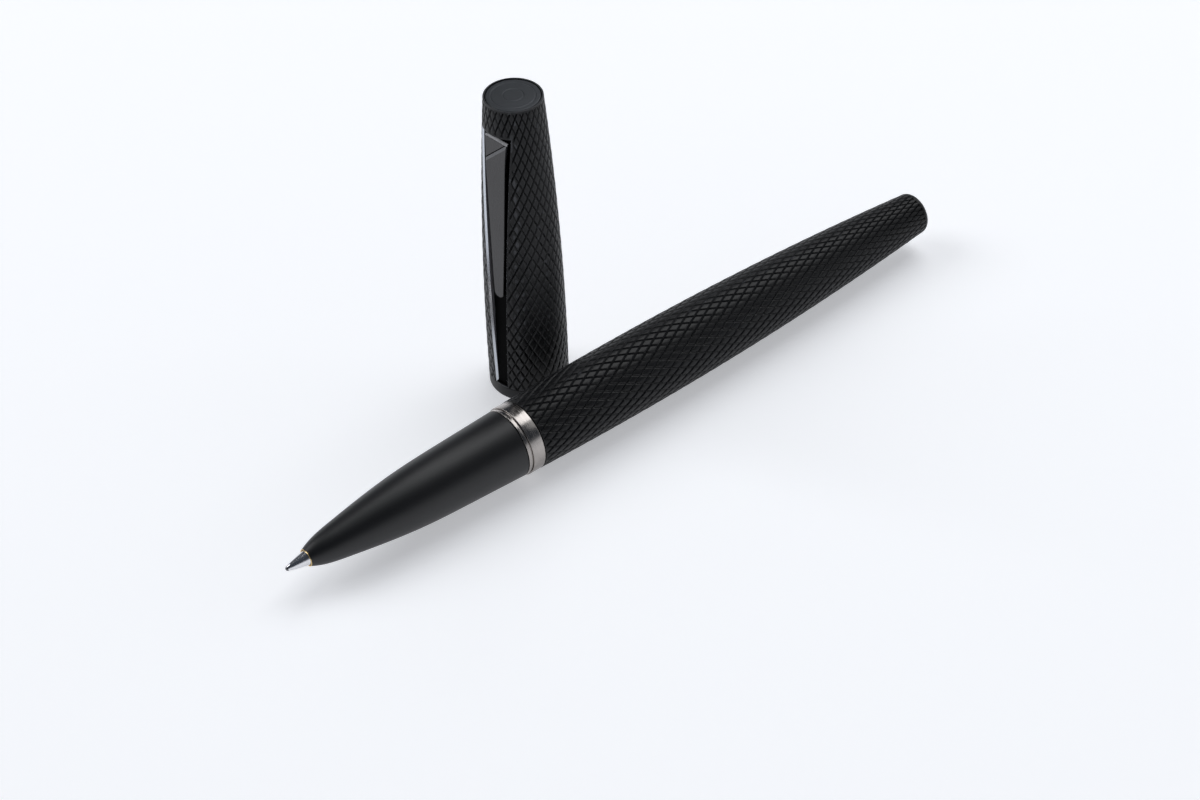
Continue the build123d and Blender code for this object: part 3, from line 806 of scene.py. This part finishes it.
# Clip
clipShape = dict(
    low=20.0, high=49.4, gap=0.2, thicknessLow=0.35, thicknessHigh=0.72, tipRadius=0.93,
    widths=[(24.0, 1.10), (30.0, 1.35), (36.0, 1.58), (42.0, 1.82), (45.0, 1.96), (47.3, 2.13), (49.4, 2.35)],
    creaseRight=(2.35, 48.75), creaseLeft=(-1.98, 44.75), creaseBevel=0.42, creaseDepth=0.22, creaseLine=0.16,
    creaseLip=0.04, creaseOverlap=0.01, facetLength=4.5, facetDrop=0.62, clearance=2.0, bevel=0.06,
    topBevel=0.32, topSlope=1.05, topHalf=3.0, topOverlap=0.02, tongueHalf=0.8, tongueLow=45.6, tongueHigh=48.6,
    tongueInner=-1.6, tongueToe=-0.2, tongueRise=1.0, tongueInBlade=0.3, sharpAngle=16)


def clipOutline():
    s = clipShape
    centre = s["low"] + s["tipRadius"]
    tip = [(s["tipRadius"] * math.sin(a), centre - s["tipRadius"] * math.cos(a))
           for a in [math.radians(-90 + 15 * k) for k in range(13)]]
    right = [(w, z) for z, w in s["widths"]]
    left = [(-w, z) for z, w in reversed(s["widths"])]
    return tip + right + left


def insetOutline(points, amount):
    # moves every side inwards by the same distance, with a limit at sharp corners
    sharpLimit = 0.35
    out = []
    n = len(points)
    for i in range(n):
        a, b, c = Vector(points[i - 1]), Vector(points[i]), Vector(points[(i + 1) % n])
        e1, e2 = (b - a).normalized(), (c - b).normalized()
        n1, n2 = Vector((-e1.y, e1.x)), Vector((-e2.y, e2.x))
        out.append(tuple(b + (n1 + n2) * (amount / max(sharpLimit, 1 + n1.dot(n2)))))
    return out


def bladeReach(z):
    # distance of the blade's outer face from the cap axis
    s = clipShape
    t = (z - s["low"]) / (s["high"] - s["low"])
    return floorReach(z) + s["gap"] + s["thicknessLow"] + (s["thicknessHigh"] - s["thicknessLow"]) * t


def bladeMesh():
    # the blade follows the channel floor, and a narrow bevel runs round its outer face
    s = clipShape
    outline = clipOutline()
    small = insetOutline(outline, s["bevel"])
    vertices = [clipPoint(floorReach(z) + s["gap"], side, z) for side, z in outline]
    vertices += [clipPoint(bladeReach(z) - s["bevel"], side, z) for side, z in outline]
    vertices += [clipPoint(bladeReach(z), side, z) for side, z in small]
    return vertices, loftFaces(len(outline), 2)


def clipBar(points, finishes):
    return barFrom(points, [clipGunmetal, clipBevelHighlight, paintedShadeBlack], finishes, clipGunmetal)


def creaseCutter():
    # cuts a bevel painted lighter as a painted highlight, a line painted nearly black as painted shade, and a
    # tilted facet into the head above the slanting crease
    s = clipShape
    a, b = Vector(s["creaseRight"]), Vector(s["creaseLeft"])
    along = (a - b).normalized()
    up = Vector((-along.y, along.x))
    foot, line, depth, clear = s["creaseBevel"], s["creaseLine"], s["creaseDepth"], s["clearance"]
    profile = [(0.0, 0.0), (foot, depth), (foot + line * 0.5, depth + line * 0.5),
               (foot + line, depth - s["creaseLip"]), (s["facetLength"], s["facetDrop"]),
               (s["facetLength"], -clear), (-clear, -clear), (-s["creaseOverlap"], 0.0)]
    points = []
    for end in (a + along * clear, b - along * clear):
        places = [(end + up * t, sink) for t, sink in profile]
        points += [clipPoint(bladeReach(place[1]) - sink, place[0], place[1]) for place, sink in places]
    return clipBar(points, [clipBevelHighlight, paintedShadeBlack, paintedShadeBlack] + [clipGunmetal] * 5)


def topEdgeCutter():
    # chamfers the top edge of the facet, in the lighter gunmetal painted on as a highlight
    s = clipShape
    bevel, top, clear = s["topBevel"], s["high"], s["clearance"]
    foot = top - bevel * s["topSlope"]
    points = []
    for side, sink in ((s["topHalf"], s["creaseDepth"]), (-s["topHalf"], s["facetDrop"])):
        reach = bladeReach(top) - (sink - s["creaseLip"])
        corners = [(reach - bevel, top), (reach + s["topOverlap"], foot), (reach + clear, foot),
                   (reach + clear, top + 1), (reach - bevel, top + 1)]
        points += [clipPoint(r, side, z) for r, z in corners]
    return clipBar(points, [clipBevelHighlight] * 5)


def tongueBar():
    # the part of the clip that goes through the cap's slot to the pin and the spring
    s = clipShape
    reachOut = floorReach(s["high"]) + s["gap"] + s["tongueInBlade"]
    profile = [(s["tongueInner"], s["tongueLow"]), (reachOut, s["tongueLow"]), (reachOut, s["tongueHigh"]),
               (s["tongueToe"], s["tongueHigh"]), (s["tongueInner"], s["tongueLow"] + s["tongueRise"])]
    points = [clipPoint(r, side, z) for side in (-s["tongueHalf"], s["tongueHalf"]) for r, z in profile]
    return barFrom(points, [clipGunmetal], [clipGunmetal] * len(profile), clipGunmetal)


def buildClip():
    piece = linkMesh("pocketClip", *bladeMesh())
    flipIfInside(piece)
    piece.data.materials.append(clipGunmetal)
    applyBoolean(piece, creaseCutter(), "DIFFERENCE")
    applyBoolean(piece, topEdgeCutter(), "DIFFERENCE")
    applyBoolean(piece, tongueBar(), "UNION")
    shadeByAngle(piece.data, clipShape["sharpAngle"])
    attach(piece, "clip")
    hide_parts("clip")
    print("clip done")


# Floor, light, camera
studio = dict(
    floorColour=(0.80, 0.81, 0.83), floorGlow=(0.395, 0.398, 0.410), floorSize=6.0, floorGap=0.00002,
    floorShade=0.985, floorRoughness=0.55, floorSpecular=0.25, grainSize=2500.0, cloudSize=4.0,
    horizon=(0.74, 0.76, 0.80), ceiling=(0.040, 0.048, 0.060), horizonEnd=0.12, ceilingStart=0.34,
    lampColour=(0.975, 0.985, 1.0),
    keyPower=7.2, keySize=0.80, keyFrom=(-0.70, 0.85, 0.90),
    topPower=8.0, topSize=1.0, topFrom=(0.62, 0.26, 1.12),
    sidePower=2.5, sideSize=1.2, sideFrom=(1.10, -0.30, 0.80))
shot = dict(azimuth=-41.2, elevation=43.33, distance=0.3918, aim=(-0.00124, -0.02558, 0.0), lens=75.0,
            shiftX=-0.0758, shiftY=0.0542, sensor=36.0, clipStart=0.01)


def buildStudio():
    s = studio
    half = s["floorSize"] / 2
    corners = [(-half, -half, 0), (half, -half, 0), (half, half, 0), (-half, half, 0)]
    floor = linkMesh("paleFloor", corners, [(0, 1, 2, 3)])
    floor.location.z = shellLow.z - s["floorGap"]
    material, tree, shader = newMaterial("paleBoard")
    noise = placeGroup(tree, fineGrain, Grain_Size=s["grainSize"], Cloud_Size=s["cloudSize"])
    shade = tuple(c * s["floorShade"] for c in s["floorColour"])
    link(tree, mixColours(tree, noise.outputs["Cloud"], shade, s["floorColour"]), shader.inputs["Base Color"])
    shader.inputs["Roughness"].default_value = s["floorRoughness"]
    shader.inputs["Specular IOR Level"].default_value = s["floorSpecular"]
    shader.inputs["Emission Color"].default_value = (*s["floorGlow"], 1)
    shader.inputs["Emission Strength"].default_value = 1.0
    floor.data.materials.append(material)
    world = bpy.data.worlds.new("softRoom")
    world.use_nodes = True
    # a pale horizon under a dark ceiling
    tree = world.node_tree
    direction = tree.nodes.new("ShaderNodeTexCoord")
    split = tree.nodes.new("ShaderNodeSeparateXYZ")
    link(tree, direction.outputs["Generated"], split.inputs["Vector"])
    height = tree.nodes.new("ShaderNodeMapRange")
    height.interpolation_type = "SMOOTHSTEP"
    height.inputs["From Min"].default_value = s["horizonEnd"]
    height.inputs["From Max"].default_value = s["ceilingStart"]
    link(tree, split.outputs["Z"], height.inputs["Value"])
    room = mixColours(tree, height.outputs["Result"], s["horizon"], s["ceiling"])
    link(tree, room, tree.nodes["Background"].inputs["Color"])
    scene.world = world
    for name in ("key", "top", "side"):
        light = bpy.data.lights.new(name + "Softbox", "AREA")
        light.shape = "SQUARE"
        light.size = s[name + "Size"]
        light.energy = s[name + "Power"]
        light.color = s["lampColour"]
        lamp = bpy.data.objects.new(name + "Softbox", light)
        lamp.location = s[name + "From"]
        lamp.rotation_euler = (-Vector(s[name + "From"])).to_track_quat("-Z", "Y").to_euler()
        scene.collection.objects.link(lamp)
    scene.view_settings.view_transform = "Standard"
    print("studio done")


def buildCamera():
    s = shot
    a, e = math.radians(s["azimuth"]), math.radians(s["elevation"])
    back = Vector((math.sin(a) * math.cos(e), -math.cos(a) * math.cos(e), math.sin(e)))
    data = bpy.data.cameras.new("studioCamera")
    data.lens = s["lens"]
    data.sensor_width = s["sensor"]
    data.shift_x, data.shift_y = s["shiftX"], s["shiftY"]
    data.clip_start = s["clipStart"]
    camera = bpy.data.objects.new("studioCamera", data)
    camera.location = Vector(s["aim"]) + back * s["distance"]
    camera.rotation_euler = back.to_track_quat("Z", "Y").to_euler()
    scene.collection.objects.link(camera)
    scene.camera = camera
    print("camera done")


buildCamera()
buildStudio()
finishNodes()
buildBarrel()
buildTrimRing()
buildGrip()
buildThread()
buildPoint()
buildCap()
buildFinial()
buildClip()

bpy.context.view_layer.update()
